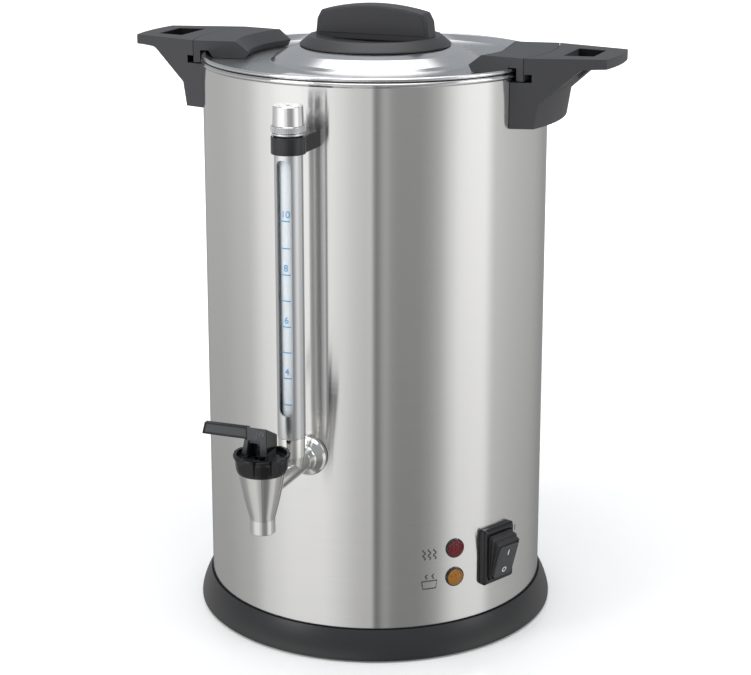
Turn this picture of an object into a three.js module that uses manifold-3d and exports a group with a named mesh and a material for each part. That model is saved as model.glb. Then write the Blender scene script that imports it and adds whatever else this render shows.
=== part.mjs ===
// Electric ten-litre hot-drink boiler: steel tank, draw-off tap, sight gauge, rocker switch, lamps and lid.
// Millimetres, +Z up. Origin: centre of the base at floor level. The tap faces -Y and the handles lie along X.
import * as THREE from 'three';
import { mergeVertices } from 'three/addons/utils/BufferGeometryUtils.js';
import Module from 'manifold-3d';

const wasm = await Module();
wasm.setup();

// ---- Driving dimensions ----
const GAP = 0.3; // clearance between pieces that touch
const WALL = 1.2; // sheet thickness of the tank
const BODY_R = 130; // outside radius of the tank
const BODY_Z0 = 16; // lower end of the tank wall
const RIM_Z = 426.5; // where the wall ends and its rolled bead begins
const FLOOR_Z = 142.5; // top of the tank floor, just under the tap's nut
const BASE_R = 139; // foot ring radius at the floor
const BASE_TOP = 23; // top of the foot ring
const PLATE_Z = 2.2; // underside of the bottom plate
const PLATE_T = 2;
const ROUND = 40; // sides of the large turned pieces
const FOOT_R = 112; // radius the four feet stand on
const SCREW_R = 125; // radius of the bottom plate screws

const TAP_Z = 156.8; // height of the tap pipe
const TAP_Y = -210; // vertical axis of the spout
const GAUGE_Y = -160; // vertical axis of the sight gauge
const SPOUT_TOP = 171.6;
const NUT_TOP = 185;
const PIN_Z = 196.8; // lever pin height

const LID_Z = 428.6; // upper face of the lid's flat ring
const LID_T = 1.2;
const EAR_TOP = 441.6; // top faces of handles and lid ears
const SEAM_R = 138; // cylinder that parts the lid ears from the handles
const SEAM_GAP = 0.4; // running clearance at that seam
const HANDLE_TIP = 186.7;
const HANDLE_FOOT_Z = 391;
const WEB_R = 144.5; // the handle's web follows the tank at this radius at its foot

const LAMP_AZ = 48.6; // degrees from the tap towards +X
const SWITCH_AZ = 65.5;
const SWITCH_Z = 69.5;
const ROCKER_TILT = 16; // the face leans in at its lower end when it is off
const INLET_Z = 44;

// ---- Geometry helpers ----
const rad = THREE.MathUtils.degToRad;

// A closed geometry as a solid, with its faces turned outwards.
function solid(geometry) {
  const g = geometry.clone();
  g.deleteAttribute('normal');
  g.deleteAttribute('uv');
  const merged = mergeVertices(g, 1e-4);
  const triVerts = new Uint32Array(merged.index.array);
  const make = () => new wasm.Manifold(
    new wasm.Mesh({ numProp: 3, vertProperties: merged.attributes.position.array, triVerts }));
  const made = make();
  if (made.volume() > 0) return made;
  for (let i = 0; i < triVerts.length; i += 3) {
    [triVerts[i + 1], triVerts[i + 2]] = [triVerts[i + 2], triVerts[i + 1]];
  }
  return make();
}

function geometryOf(body) {
  const mesh = body.getMesh();
  const g = new THREE.BufferGeometry();
  g.setAttribute('position', new THREE.BufferAttribute(new Float32Array(mesh.vertProperties), 3));
  g.setIndex([...mesh.triVerts]);
  return g;
}

// A profile of [radius, height] points turned about Z. A ring's profile closes on itself.
function turned(points, segments = 32) {
  const profile = points.map(([r, z]) => new THREE.Vector2(r, z));
  if (points[0][0] > 0) profile.push(profile[0].clone());
  return solid(new THREE.LatheGeometry(profile, segments).rotateX(Math.PI / 2));
}

const cylinder = (r, z0, z1, segments = 24) => turned([[0, z0], [r, z0], [r, z1], [0, z1]], segments);
const ring = (r0, r1, z0, z1, segments = 32) => turned([[r0, z0], [r1, z0], [r1, z1], [r0, z1]], segments);

function box(x0, x1, y0, y1, z0, z1) {
  const g = new THREE.BoxGeometry(x1 - x0, y1 - y0, z1 - z0);
  return solid(g.translate((x0 + x1) / 2, (y0 + y1) / 2, (z0 + z1) / 2));
}

function outline(points) {
  return new THREE.Shape(points.map(([x, y]) => new THREE.Vector2(x, y)));
}

// An outline in XY raised along Z.
function plate(points, z0, z1) {
  const g = new THREE.ExtrudeGeometry(outline(points), { depth: z1 - z0, bevelEnabled: false });
  return solid(g.translate(0, 0, z0));
}

// An outline in XZ extruded along Y.
function sideways(points, y0, y1) {
  const g = new THREE.ExtrudeGeometry(outline(points), { depth: y1 - y0, bevelEnabled: false });
  return solid(g.rotateX(Math.PI / 2).translate(0, y1, 0));
}

// A round tube along a curve.
function wire(curve, radius, steps, sides) {
  const section = new THREE.Shape();
  for (let i = 0; i < sides; i += 1) {
    const a = (2 * Math.PI * i) / sides;
    if (i === 0) section.moveTo(radius, 0);
    else section.lineTo(radius * Math.cos(a), radius * Math.sin(a));
  }
  section.closePath();
  return solid(new THREE.ExtrudeGeometry(section, { steps, extrudePath: curve }));
}

const join = (first, ...rest) => rest.reduce((sum, next) => sum.add(next), first);
const cut = (first, ...rest) => rest.reduce((left, next) => left.subtract(next), first);
const spin = (body, degrees) => body.rotate([0, 0, degrees]);
// A solid built pointing along -Y (outwards from the front) turned to an azimuth towards +X.
const facing = (body, azimuth) => spin(body, azimuth);
// A solid built along +Z laid down to point along -Y, with its own z measured outwards from the axis.
const outwards = (body) => body.rotate([90, 0, 0]);
const roundRect = (w, h, r, n = 3) => {
  const points = [];
  [[1, 1, 0], [-1, 1, 90], [-1, -1, 180], [1, -1, 270]].forEach(([sx, sy, start]) => {
    for (let i = 0; i <= n; i += 1) {
      const a = rad(start + (90 * i) / n);
      points.push([sx * (w / 2 - r) + r * Math.cos(a), sy * (h / 2 - r) + r * Math.sin(a)]);
    }
  });
  return points;
};
// A round-cornered block standing out of the wall: its u runs across, its v runs up, its n runs outwards.
const wallBlock = (w, h, r, n0, n1) => outwards(plate(roundRect(w, h, r), BODY_R + n0, BODY_R + n1));

// ---- Materials ----
const finish = (color, roughness, metalness) => new THREE.MeshStandardMaterial({ color, roughness, metalness });
const STEEL = finish(0xc4c5c6, 0.32, 1);
const BRIGHT_STEEL = finish(0xd8d8d8, 0.18, 1);
const ALUMINIUM = finish(0xd0d2d4, 0.35, 1);
const BRASS = finish(0xb8954a, 0.35, 1);
const CHARCOAL = finish(0x46464a, 0.6, 0);
const BLACK = finish(0x1c1c1e, 0.3, 0);
const RUBBER = finish(0x2a2a2c, 0.8, 0);
const SILICONE = finish(0xd9d6cf, 0.6, 0);
const CERAMIC = finish(0xe6e2d8, 0.7, 0);
const RED = finish(0x8c1420, 0.25, 0);
const AMBER = finish(0xb8791c, 0.25, 0);
const CLEAR = new THREE.MeshStandardMaterial({
  color: 0xe8eef2, roughness: 0.05, metalness: 0, transparent: true, opacity: 0.4 });

const boiler = new THREE.Group();
function add(name, body, material) {
  const mesh = new THREE.Mesh(geometryOf(body), material);
  mesh.name = name;
  boiler.add(mesh);
}

// ---- Base ----
function baseRing() {
  const flare = [];
  for (let i = 0; i <= 4; i += 1) {
    const t = i / 4;
    flare.push([BODY_R + 1.5 + (BASE_R - BODY_R - 1.5) * (1 - (1 - t) ** 1.5), BASE_TOP - t * (BASE_TOP - 3)]);
  }
  const shell = turned([
    [BODY_R + 0.4, BASE_TOP], ...flare, [BASE_R - 0.4, 1.2], [136.6, 1.2], [136.6, 5], [132, 13.2],
    [119, 13.2], [119, BODY_Z0 - GAP], [BODY_R + 0.4, BODY_Z0 - GAP],
  ], ROUND);
  const bosses = [45, 135, 225, 315].map((a) =>
    spin(cylinder(5, PLATE_Z + PLATE_T + GAP, BODY_Z0 - GAP, 10).translate([SCREW_R, 0, 0]), a));
  const bores = [45, 135, 225, 315].map((a) => spin(cylinder(2.4, 0, 20, 8).translate([SCREW_R, 0, 0]), a));
  return cut(join(shell, ...bosses), ...bores);
}

function bottomPlate() {
  let body = cylinder(136.2, PLATE_Z, PLATE_Z + PLATE_T, ROUND);
  [45, 135, 225, 315].forEach((a) => {
    body = cut(body, spin(cylinder(2.4, 0, 8, 8).translate([SCREW_R, 0, 0]), a));
    body = cut(body, spin(cylinder(3.4, 0, 8, 8).translate([FOOT_R, 0, 0]), a + 20));
  });
  for (let i = 0; i < 6; i += 1) {
    const slot = plate(roundRect(30, 5, 2.4, 2), 0, 8).translate([70, 0, 0]);
    body = cut(body, spin(slot, i * 60 + 15));
  }
  return body;
}

const foot = () => turned([[0, 0], [9, 0], [10, 0.5], [10, PLATE_Z - GAP], [3, PLATE_Z - GAP],
  [3, 4.6], [4.2, 5], [2.6, 7], [0, 7]], 12);
const panScrew = (headZ, headT, headR, shankR, tip) => turned([[0, headZ], [headR * 0.7, headZ],
  [headR, headZ + headT * 0.5], [headR, headZ + headT], [shankR, headZ + headT], [shankR, tip - 1],
  [shankR * 0.4, tip], [0, tip]], 8);

add('base_ring', baseRing(), CHARCOAL);
add('bottom_plate', bottomPlate(), STEEL);
[45, 135, 225, 315].forEach((a, i) => {
  const turn = (body, r, angle) => spin(body.translate([r, 0, 0]), angle);
  add(`foot_${i + 1}`, turn(foot(), FOOT_R, a + 20), RUBBER);
  add(`base_screw_${i + 1}`, turn(panScrew(0.7, PLATE_Z - GAP - 0.7, 3.8, 1.9, 20), SCREW_R, a), BRIGHT_STEEL);
});

// ---- Tank ----
function bodyShell() {
  const bead = [];
  for (let i = 0; i <= 5; i += 1) {
    const a = rad(-40 + (i * 245) / 5);
    bead.push([BODY_R - 0.5 + 1.7 * Math.cos(a), RIM_Z + 1.85 + 1.75 * Math.sin(a)]);
  }
  let body = turned([
    [118, BODY_Z0], [BODY_R, BODY_Z0], [BODY_R, RIM_Z], ...bead, [BODY_R - WALL, RIM_Z],
    [BODY_R - WALL, BODY_Z0 + WALL], [118, BODY_Z0 + WALL],
  ], ROUND);
  const hole = (r, z) => outwards(cylinder(r, 100, 140, 12)).translate([0, 0, z]);
  body = cut(body, hole(6.8, TAP_Z), hole(2.5, 391));
  body = cut(body, ...[82, 59.4].map((z) => facing(hole(5.4, z), LAMP_AZ)));
  body = cut(body, facing(wallBlock(24, 33, 2, -20, 10).translate([0, 0, SWITCH_Z]), SWITCH_AZ));
  body = cut(body, facing(wallBlock(28, 21, 2, -20, 10).translate([0, 0, INLET_Z]), 180));
  [90, -90].forEach((az) => [398, 414].forEach((z) => { body = cut(body, facing(hole(2.8, z), az)); }));
  [45, 135, 225, 315].forEach((a) => {
    body = cut(body, spin(cylinder(2.4, 10, 20, 8).translate([SCREW_R, 0, 0]), a));
  });
  return body;
}
add('body_shell', bodyShell(), STEEL);

const tankFloor = turned([[0, FLOOR_Z - WALL], [123.4, FLOOR_Z - WALL], [126.4, FLOOR_Z - 4], [127.3, FLOOR_Z - 11],
  [BODY_R - WALL - GAP, FLOOR_Z - 11], [BODY_R - WALL - GAP, FLOOR_Z - 4], [125, FLOOR_Z], [0, FLOOR_Z]], ROUND);
const plateTop = FLOOR_Z - WALL - GAP;
add('tank_floor', tankFloor, STEEL);
add('heater_plate', cylinder(78, plateTop - 6, plateTop, 48), ALUMINIUM);

// The element is a bent rod under the heater plate: most of a circle, with both ends turned down.
function heatingElement() {
  const r = 58;
  const z = plateTop - 6 - GAP - 5;
  const points = [];
  const bend = (a, dz, k) => points.push(new THREE.Vector3(r * k * Math.cos(rad(a)), r * k * Math.sin(rad(a)), z + dz));
  bend(112, -26, 1);
  bend(112, -10, 1);
  for (let a = 118; a <= 422; a += 19) bend(a, 0, 1);
  bend(428, -10, 1);
  bend(428, -26, 1);
  return wire(new THREE.CatmullRomCurve3(points, false, 'centripetal'), 4, 40, 6);
}
add('heating_element', heatingElement(), STEEL);

// Snap-disc control: a cup with a mounting flange and two blades under it.
function snapDisc(r, h) {
  const top = plateTop - 6 - GAP;
  const cup = join(cylinder(r, top - h, top, 20), plate(roundRect(r * 3.2, 9, 4), top - 1.2, top));
  const blades = [-1, 1].map((s) => box(s * r * 0.5 - 0.4, s * r * 0.5 + 0.4, -3, 3, top - h - 9, top - h + 0.5));
  return join(cup, ...blades);
}
add('boil_thermostat', snapDisc(8, 12).translate([24, 14, 0]), CERAMIC);
add('warm_thermostat', snapDisc(8, 12).translate([-24, 14, 0]), CERAMIC);
add('thermal_cutout', snapDisc(7, 9).translate([0, -22, 0]), BLACK);

function terminalBlock() {
  const z = PLATE_Z + PLATE_T + GAP;
  let body = box(-48, -8, 58, 76, z, z + 15);
  [-40, -28, -16].forEach((x) => { body = cut(body, box(x - 3, x + 3, 50, 80, z + 4, z + 10)); });
  return body;
}
add('terminal_block', terminalBlock(), CERAMIC);

// Insulated leads clipped inside the base bay.
const lead = (points) => wire(new THREE.CatmullRomCurve3(points.map((p) => new THREE.Vector3(...p))), 1.4, 22, 6);
add('switch_lead', lead([[-16, 55, 12], [-4, 36, 22], [34, 10, 34], [68, -20, 48], [84, -38, 58]]), BLACK);
add('element_lead', lead([[-28, 55, 12], [-36, 52, 30], [-34, 54, 60], [-26, 54, 84], [-21.7, 53.8, 98]]), RUBBER);

// Socket at the back for a detachable supply lead: a snap-in body with three pins in its recess.
function mainsInlet() {
  const wallCut = cylinder(BODY_R + GAP, -60, 60, 96);
  const flange = cut(wallBlock(34, 27, 3, -3, 3.2), wallCut);
  const neck = wallBlock(27.2, 20.2, 1.8, -24, 2);
  const recess = wallBlock(24, 16.6, 4, -18, 8);
  const pin = (x, z) => box(x - 1, x + 1, -(BODY_R - 2), -(BODY_R - 20), z - 2, z + 2);
  const tab = (x) => box(x - 3, x + 3, -(BODY_R - 20), -(BODY_R - 34), -0.5, 0.5);
  const shell = cut(join(flange, neck), recess);
  const body = join(shell, pin(-7, -2), pin(7, -2), pin(0, 2), tab(-8), tab(8));
  return facing(body.translate([0, 0, INLET_Z]), 180);
}
add('mains_inlet', mainsInlet(), BLACK);

// ---- Handles: built on the +X side, and turned half a turn for the other side ----
function handle() {
  const grip = sideways([[120, 409], [141, 409], [169, 433.6], [178, 434.2], [192, 434.6], [192, EAR_TOP],
    [120, EAR_TOP]], -60, 60);
  const web = turned([[120, HANDLE_FOOT_Z], [WEB_R, HANDLE_FOOT_Z], [WEB_R + 2.8, 409], [WEB_R + 3.9, 416], [120, 416]], 96);
  const side = join(grip, web.intersect(box(0, 200, -60, 60, 380, 450)));
  const inner = 45.1;
  const outer = 29.7;
  const tip = [];
  for (let i = 0; i <= 8; i += 1) {
    const v = -1 + i / 4;
    tip.push([HANDLE_TIP + 3 * (1 - v * v), outer * v]);
  }
  const slope = (inner - outer) / (HANDLE_TIP - 130.3);
  const plan = plate([[100, -inner - 30 * slope], ...tip, [100, inner + 30 * slope]], 380, 450);
  const window = plate([[154, -21], [174, -17.5], [174, 17.5], [154, 21]], 400, 450);
  const keep = [
    ring(0.1, BODY_R + GAP, 380, 424.2, 96),
    ring(0.1, 143, 424.2, 430, 96),
    ring(0.1, SEAM_R + SEAM_GAP / 2, 430, 450, 96),
  ];
  const bores = [398, 414].map((z) => facing(outwards(cylinder(2.2, 120, 137, 12)).translate([0, 0, z]), 90));
  return cut(cut(side.intersect(plan), window), ...keep.map((k) => k.add(cylinder(1, 380, 381, 8))), ...bores);
}
const handleScrew = (z) => facing(outwards(
  turned([[0, 122.6], [3.2, 122.6], [5, 124.8], [5, 127.9], [2.2, 127.9], [1.8, 135.5], [0, 135.5]], 10)).translate([0, 0, z]), 90);
[['right', 0], ['left', 180]].forEach(([side, turn]) => {
  add(`handle_${side}`, spin(handle(), turn), CHARCOAL);
  add(`handle_screw_${side}_lower`, spin(handleScrew(398), turn), BRIGHT_STEEL);
  add(`handle_screw_${side}_upper`, spin(handleScrew(414), turn), BRIGHT_STEEL);
});

// ---- Lamps and switch ----
[['heating', 82, RED], ['keep_warm', 59.4, AMBER]].forEach(([use, z, colour]) => {
  const bezel = turned([[5.6, BODY_R + GAP], [7.6, BODY_R + GAP], [7.6, BODY_R + 1.4], [6.9, BODY_R + 2], [5.6, BODY_R + 2]], 20);
  const lens = turned([[0, 106], [4.6, 106], [4.6, BODY_R + 2.3], [6.6, BODY_R + 2.3], [6.6, BODY_R + 3.4],
    [4.4, BODY_R + 4.6], [0, BODY_R + 5]], 20);
  add(`lamp_${use}_bezel`, facing(outwards(bezel).translate([0, 0, z]), LAMP_AZ), BLACK);
  add(`lamp_${use}`, facing(outwards(lens).translate([0, 0, z]), LAMP_AZ), colour);
});

// Built facing -Y at height zero, then moved to its height and turned to its azimuth.
const atSwitch = (body) => facing(body.translate([0, 0, SWITCH_Z]), SWITCH_AZ);
function switchFrame() {
  const wallCut = cylinder(BODY_R + GAP, -60, 60, 96);
  const rim = cut(wallBlock(32, 44, 2.5, -3, 3.4), wallCut);
  const lip = wallBlock(29.4, 41.4, 2, 2, 5);
  const neck = wallBlock(23.2, 32.2, 1.5, -26, 4);
  const recess = wallBlock(21, 30, 1.5, -12, 8);
  const mouth = wallBlock(25.4, 35.4, 2, 1.2, 8);
  const blades = [[-5, -8], [5, -8], [-5, 8], [5, 8]].map(([x, z]) =>
    box(x - 0.4, x + 0.4, -(BODY_R - 25), -(BODY_R - 35), z - 3, z + 3));
  return join(cut(join(rim, lip, neck), recess, mouth), ...blades);
}
add('switch_frame', atSwitch(switchFrame()), BLACK);

// The rocker turns about a level axis across its middle. At rest its lower end is pressed in.
const ROCKER_AXIS_N = 0; // height of that axis above the wall radius
const tilt = (body) => body.translate([0, BODY_R + ROCKER_AXIS_N, 0]).rotate([ROCKER_TILT, 0, 0])
  .translate([0, -(BODY_R + ROCKER_AXIS_N), 0]);
const trunnion = cylinder(3.2, -9.2, 9.2, 16).rotate([0, 90, 0]).translate([0, -(BODY_R + ROCKER_AXIS_N), 0]);
const rocker = join(wallBlock(20.2, 27.8, 2.6, 2.6, 12.2), wallBlock(15, 14, 1, -4, 3), trunnion);
add('switch_rocker', atSwitch(tilt(rocker)), BLACK);
function switchBoot() {
  const folds = [[24.8, 34.8, 1.6, 5.3], [27.6, 37.6, 5.2, 6.8], [25.8, 35.4, 6.7, 8.3], [24, 33, 8.2, 9.8]];
  const outer = folds.map(([w, h, n0, n1]) => wallBlock(w, h, 2.4, n0, n1));
  return cut(join(...outer), tilt(wallBlock(21, 28.8, 2.4, -10, 20)), wallBlock(21, 28.8, 2.4, -1, 20));
}
add('switch_boot', atSwitch(switchBoot()), RUBBER);

// ---- Sight gauge ----
const atGauge = (body) => body.translate([0, GAUGE_Y, 0]);
function gaugeShield() {
  const tube = ring(8.8, 10, 181.3, 399.6, 28);
  const slot = outwards(plate(roundRect(11, 183, 5.4, 6), 0, 20)).translate([0, 0, 290]);
  return cut(tube, slot);
}
add('gauge_shield', atGauge(gaugeShield()), ALUMINIUM);
add('gauge_glass', atGauge(ring(5, 6.5, 170.3, 406, 20)), CLEAR);
add('gauge_seal_lower', atGauge(ring(6.8, 8.4, 184, 187, 24)), SILICONE);
add('gauge_seal_upper', atGauge(ring(6.8, 8.4, 392, 395, 24)), SILICONE);
function gaugeBracket() {
  const clamp = cylinder(12.15, 385, 397, 28);
  const arm = box(-10.5, 10.5, 0, 40, 385, 397);
  const wallCut = cylinder(BODY_R + GAP, 380, 400, 96).translate([0, -GAUGE_Y, 0]);
  const pilot = outwards(cylinder(1.9, 110, 142, 12)).translate([0, -GAUGE_Y, 391]);
  return cut(join(clamp, arm), cylinder(10.3, 380, 400, 28), wallCut, pilot);
}
add('gauge_bracket', atGauge(gaugeBracket()), BLACK);
add('gauge_bracket_screw', outwards(turned([[0, 124.6], [2.6, 124.6], [4.2, 126], [4.2, 128.2], [1.6, 128.2],
  [1.6, 140], [0, 140]], 14)).translate([0, 0, 391]), BRIGHT_STEEL);
function gaugeCap() {
  const points = [[1.3, 418], [10.1, 418], [10.65, 417.4], [10.65, 404.6], [12.1, 404.4], [12.1, 400],
    [6.9, 400], [6.9, 412], [1.3, 413.5]];
  let body = turned(points, 24);
  for (let i = 0; i < 12; i += 1) {
    body = cut(body, spin(box(11.6, 13, -0.6, 0.6, 399, 405), i * 30));
  }
  return body;
}
add('gauge_cap', atGauge(gaugeCap()), BRIGHT_STEEL);

// ---- Tap ----
const atTap = (body) => body.translate([0, TAP_Y, 0]);
function tapBody() {
  const cone = [];
  for (let i = 0; i <= 4; i += 1) {
    const t = i / 4;
    cone.push([8.85 + 7.4 * t + 0.5 * Math.sin(Math.PI * t), 138 + (SPOUT_TOP - 138) * t]);
  }
  const outside = atTap(turned([[0, 127.5], [8.85, 127.5], ...cone, [13.5, SPOUT_TOP], [13.5, 177.5], [0, 177.5]], 24));
  const wallCut = cylinder(BODY_R + GAP, 100, 220, 96);
  const flange = outwards(cylinder(14.7, 120, 134.5, 28)).translate([0, 0, TAP_Z]);
  const pipe = outwards(cylinder(7.7, 125, 204, 20)).translate([0, 0, TAP_Z]);
  const shank = outwards(cylinder(6.2, 112, 134, 20)).translate([0, 0, TAP_Z]);
  const socket = atGauge(turned([[0, 155], [7.4, 155], [8.6, 160], [9.6, 168], [9.6, 181], [0, 181]], 20));
  const solidBody = join(cut(join(outside, flange, pipe), wallCut), shank, socket);
  const chamber = atTap(turned([[0, 150], [9.4, 150.2], [12, 162], [12, 180], [0, 180]], 24));
  const outlet = atTap(cylinder(7, 120, 151, 16));
  const bore = outwards(cylinder(4.4, 100, 203, 16)).translate([0, 0, TAP_Z]);
  const riser = atGauge(cylinder(4.4, TAP_Z, 172, 16));
  const glassSeat = atGauge(cylinder(7, 170, 190, 20));
  return cut(solidBody, chamber, outlet, bore, riser, glassSeat);
}
add('tap_body', tapBody(), STEEL);
add('tap_washer', outwards(ring(6.5, 11.5, 126, 127.7, 28)).translate([0, 0, TAP_Z]), SILICONE);
const tankNut = outwards(cut(cylinder(12.2, 118.5, 125.7, 6), cylinder(6.5, 110, 140, 20))).translate([0, 0, TAP_Z]);
add('tap_tank_nut', tankNut, BRASS);

function bonnetNut() {
  let body = turned([[3.8, 179.4], [14, 179.4], [14, SPOUT_TOP + GAP], [17, SPOUT_TOP + GAP], [18, 174.8],
    [18.7, 181.2], [19.8, 183.2], [19.8, NUT_TOP], [17.4, NUT_TOP], [17, 180.8], [3.8, 180.8]], 27);
  for (let i = 0; i < 9; i += 1) {
    body = cut(body, spin(flute(), i * 40 - 83.2));
  }
  return body;
}
// A grip flute: a wedge-shaped cut that narrows and runs out towards the foot of the nut.
function flute() {
  return wasm.Manifold.hull([[24, -6.5, 187], [24, 6.5, 187], [18, 0, 187], [24, -5, 170], [24, 5, 170],
    [18, 0, 170]]);
}
add('tap_bonnet_nut', atTap(bonnetNut()), BLACK);
add('tap_diaphragm', atTap(ring(2.7, 13.4, 177.8, 179.1, 28)), SILICONE);

// The stem's lower collar carries the plug, and its flat top holds the lever pin.
const stem = join(cylinder(2.2, 155.6, 186, 16), cylinder(5.4, 155.6, 158, 20), cylinder(4, 183, 190, 20),
  box(-2, 2, -2.4, 2.4, 189, 198.9));
const pinHole = cylinder(1.3, -5.4, 5.4, 16).rotate([90, 0, 0]).translate([0, 0, PIN_Z]);
add('valve_stem', atTap(cut(stem, pinHole)), BLACK);
add('valve_plug', atTap(turned([[0, 150.4], [6.8, 150.6], [7.6, 152.4], [6.4, 155.3], [0, 155.3]], 24)), SILICONE);
class Coil extends THREE.Curve {
  getPoint(t, target = new THREE.Vector3()) {
    const a = 2 * Math.PI * 5 * t;
    return target.set(4.6 * Math.cos(a), 4.6 * Math.sin(a), 159.2 + 17.4 * t);
  }
}
add('valve_spring', atTap(wire(new Coil(), 0.5, 50, 4)), BRIGHT_STEEL);
add('lever_pin', atTap(cylinder(1, -5.2, 5.2, 16).rotate([90, 0, 0]).translate([0, 0, PIN_Z])), BRIGHT_STEEL);

// The lever is a thin blade on a hub that straddles the stem. The hub's top falls away to the back,
// and its two heels rest on the nut's floor.
function tapLever() {
  const depth = spin(sideways([[-7, 185.2], [-3, 185.2], [-3, 181.3], [9, 181.3], [9, 186], [11, 188], [11, 196],
    [-6, 204.9], [-7, 204.9]], -7, 13), 90);
  const front = [[-12.8, 181], [6.7, 181], [6.5, 205], [-7.4, 205], [-7.4, 196], [-9.6, 196]];
  const hub = depth.intersect(sideways(front, -8, 12));
  const blade = sideways([[-42.3, 195.8], [-7, 196], [-7, 204.6], [-40.2, 204.3]], -6, -2.6);
  const arch = sideways([[-9.2, 181], [2, 181], [2, 196], [-6.8, 196]], -8, -5.2);
  const room = sideways([[-10, 181], [2, 181], [2, 193.4], [-7.6, 193.4]], -5.3, 7);
  const stemRoom = join(cylinder(5, 180, 192, 20), box(-4, 3.4, -2.8, 2.8, 190, 199.6));
  return cut(join(hub, blade), arch, room, stemRoom, pinHole);
}
add('tap_lever', atTap(tapLever()), BLACK);

// ---- Lid ----
function lidShell() {
  const rim = [];
  for (let i = 0; i <= 5; i += 1) {
    const a = rad(150 - (i * 215) / 5);
    rim.push([128.6 + 1.9 * Math.cos(a), 432 + 1.5 * Math.sin(a)]);
  }
  return cut(turned([
    [3.2, 439.4], [57, 439.4], [66, 436.6], [76, 431.4], [78.2, LID_Z], [123.6, LID_Z], ...rim,
    [126.8, 430.5], [124.4, LID_Z - LID_T],
    [77.2, LID_Z - LID_T], [75, 430.4], [65.6, 435.4], [57, 438.2], [3.2, 438.2],
  ], ROUND), ...earScrewHoles(2.4));
}
const earScrewHoles = (r) => [-1, 1].map((side) => cylinder(r, 415, 436.6, 12).translate([side * 105, 0, 0]));
add('lid_shell', lidShell(), BRIGHT_STEEL);
add('lid_gasket', turned([[122.6, 422], [126.4, 421], [127.1, 424], [127.1, LID_Z - LID_T - GAP - 0.6],
  [121.6, LID_Z - LID_T - GAP]], ROUND), SILICONE);

function lidKnob() {
  const base = turned([[0, 439.7], [57, 439.7], [57, 440.6], [49.8, 446.9], [44.5, 446.6], [30, 443.6], [0, 442.4]], ROUND);
  const arch = [];
  for (let i = 0; i <= 8; i += 1) {
    const x = 41 - (82 * i) / 8;
    arch.push([x, 470 - 5.2 * (x / 41) ** 2]);
  }
  const grip = sideways([[-46, 443], [46, 443], [44.4, 458], ...arch, [-44.4, 458]], -8, 8);
  return cut(join(base, grip), cylinder(2.6, 438, 456, 14));
}
add('lid_knob', lidKnob(), CHARCOAL);
add('knob_washer', ring(3.1, 9.5, 436.6, 437.9, 24), RUBBER);
add('knob_screw', turned([[0, 432.6], [4.4, 432.6], [6.4, 434], [6.4, 436.3], [2.3, 436.3], [2.3, 452], [0, 452]], 18), BRIGHT_STEEL);

function lidEar() {
  const out = SEAM_R - SEAM_GAP / 2;
  const band = turned([[98, LID_Z + GAP], [122.9, LID_Z + GAP], [126.2, 434.2], [132.6, 434.2], [132.6, 425], [out, 425],
    [out, EAR_TOP], [105, EAR_TOP], [95.5, 434]], 96);
  const plan = plate([[80, -38], [98, -40], [131, -45.2], [145, -47.6], [145, 47.6], [131, 45.2], [98, 40], [80, 38]], 420, 445);
  return cut(band.intersect(plan), cylinder(1.8, 420, 438, 12).translate([105, 0, 0]));
}
const earScrew = () => turned([[0, 422.6], [2.6, 422.6], [4, 424], [4, 427.1], [1.5, 427.1], [1.5, 437], [0, 437]], 14);
[['right', 0], ['left', 180]].forEach(([side, turn]) => {
  add(`lid_ear_${side}`, spin(lidEar(), turn), CHARCOAL);
  add(`ear_screw_${side}`, spin(earScrew().translate([105, 0, 0]), turn), BRIGHT_STEEL);
});

export default boiler;
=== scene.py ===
# Studio picture of a ten-litre hot-drink boiler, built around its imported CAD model.
# Lengths in the builders below are millimetres. Mesh data is stored in metres.
import math

import bmesh
import bpy
from mathutils import Matrix, Vector


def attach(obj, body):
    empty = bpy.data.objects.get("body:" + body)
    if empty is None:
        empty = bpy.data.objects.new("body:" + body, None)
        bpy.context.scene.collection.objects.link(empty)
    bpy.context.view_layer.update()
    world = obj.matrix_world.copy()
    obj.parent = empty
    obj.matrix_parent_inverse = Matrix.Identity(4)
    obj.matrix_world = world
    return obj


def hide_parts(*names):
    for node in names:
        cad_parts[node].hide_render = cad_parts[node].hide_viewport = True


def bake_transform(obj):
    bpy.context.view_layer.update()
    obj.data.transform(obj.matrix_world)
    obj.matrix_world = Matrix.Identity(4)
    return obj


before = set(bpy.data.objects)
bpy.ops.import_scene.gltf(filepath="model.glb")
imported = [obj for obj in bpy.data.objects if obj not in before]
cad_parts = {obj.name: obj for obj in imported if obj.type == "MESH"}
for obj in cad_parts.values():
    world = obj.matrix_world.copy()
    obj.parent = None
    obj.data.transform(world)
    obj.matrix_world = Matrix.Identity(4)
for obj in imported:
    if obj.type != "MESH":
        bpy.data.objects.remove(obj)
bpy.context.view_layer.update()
scene = bpy.context.scene

# ---- Shared dimensions, as in the CAD (mm) ----
MM = 0.001
BODY_R = 130.0
BODY_Z0 = 16.0
RIM_Z = 426.5
LID_Z = 428.6
EAR_TOP = 441.6
SEAM_R = 138.0
WEB_R = 144.5
TAP_Y, TAP_Z = -210.0, 156.8
GAUGE_Y = -160.0
NUT_TOP = 185.0
GLASS_PRINT_R = 6.62
LAMP_AZ, SWITCH_AZ, SWITCH_Z = 48.6, 65.5, 69.5
HEATING_Z, KEEP_WARM_Z = 82, 59.4
ROCKER_TILT = 16.0
ROCKER_TOP = 12.2

# ---- Camera, in metres and degrees ----
CAMERA_AZ = 21.8
CAMERA_OUT, CAMERA_UP = 1.4196, 0.6314
CAMERA_DOWN = 0.2507
FOCAL_WIDTHS = 1892.8 / 751
SENSOR = 36.0
SHIFT_UP = -0.096


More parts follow.
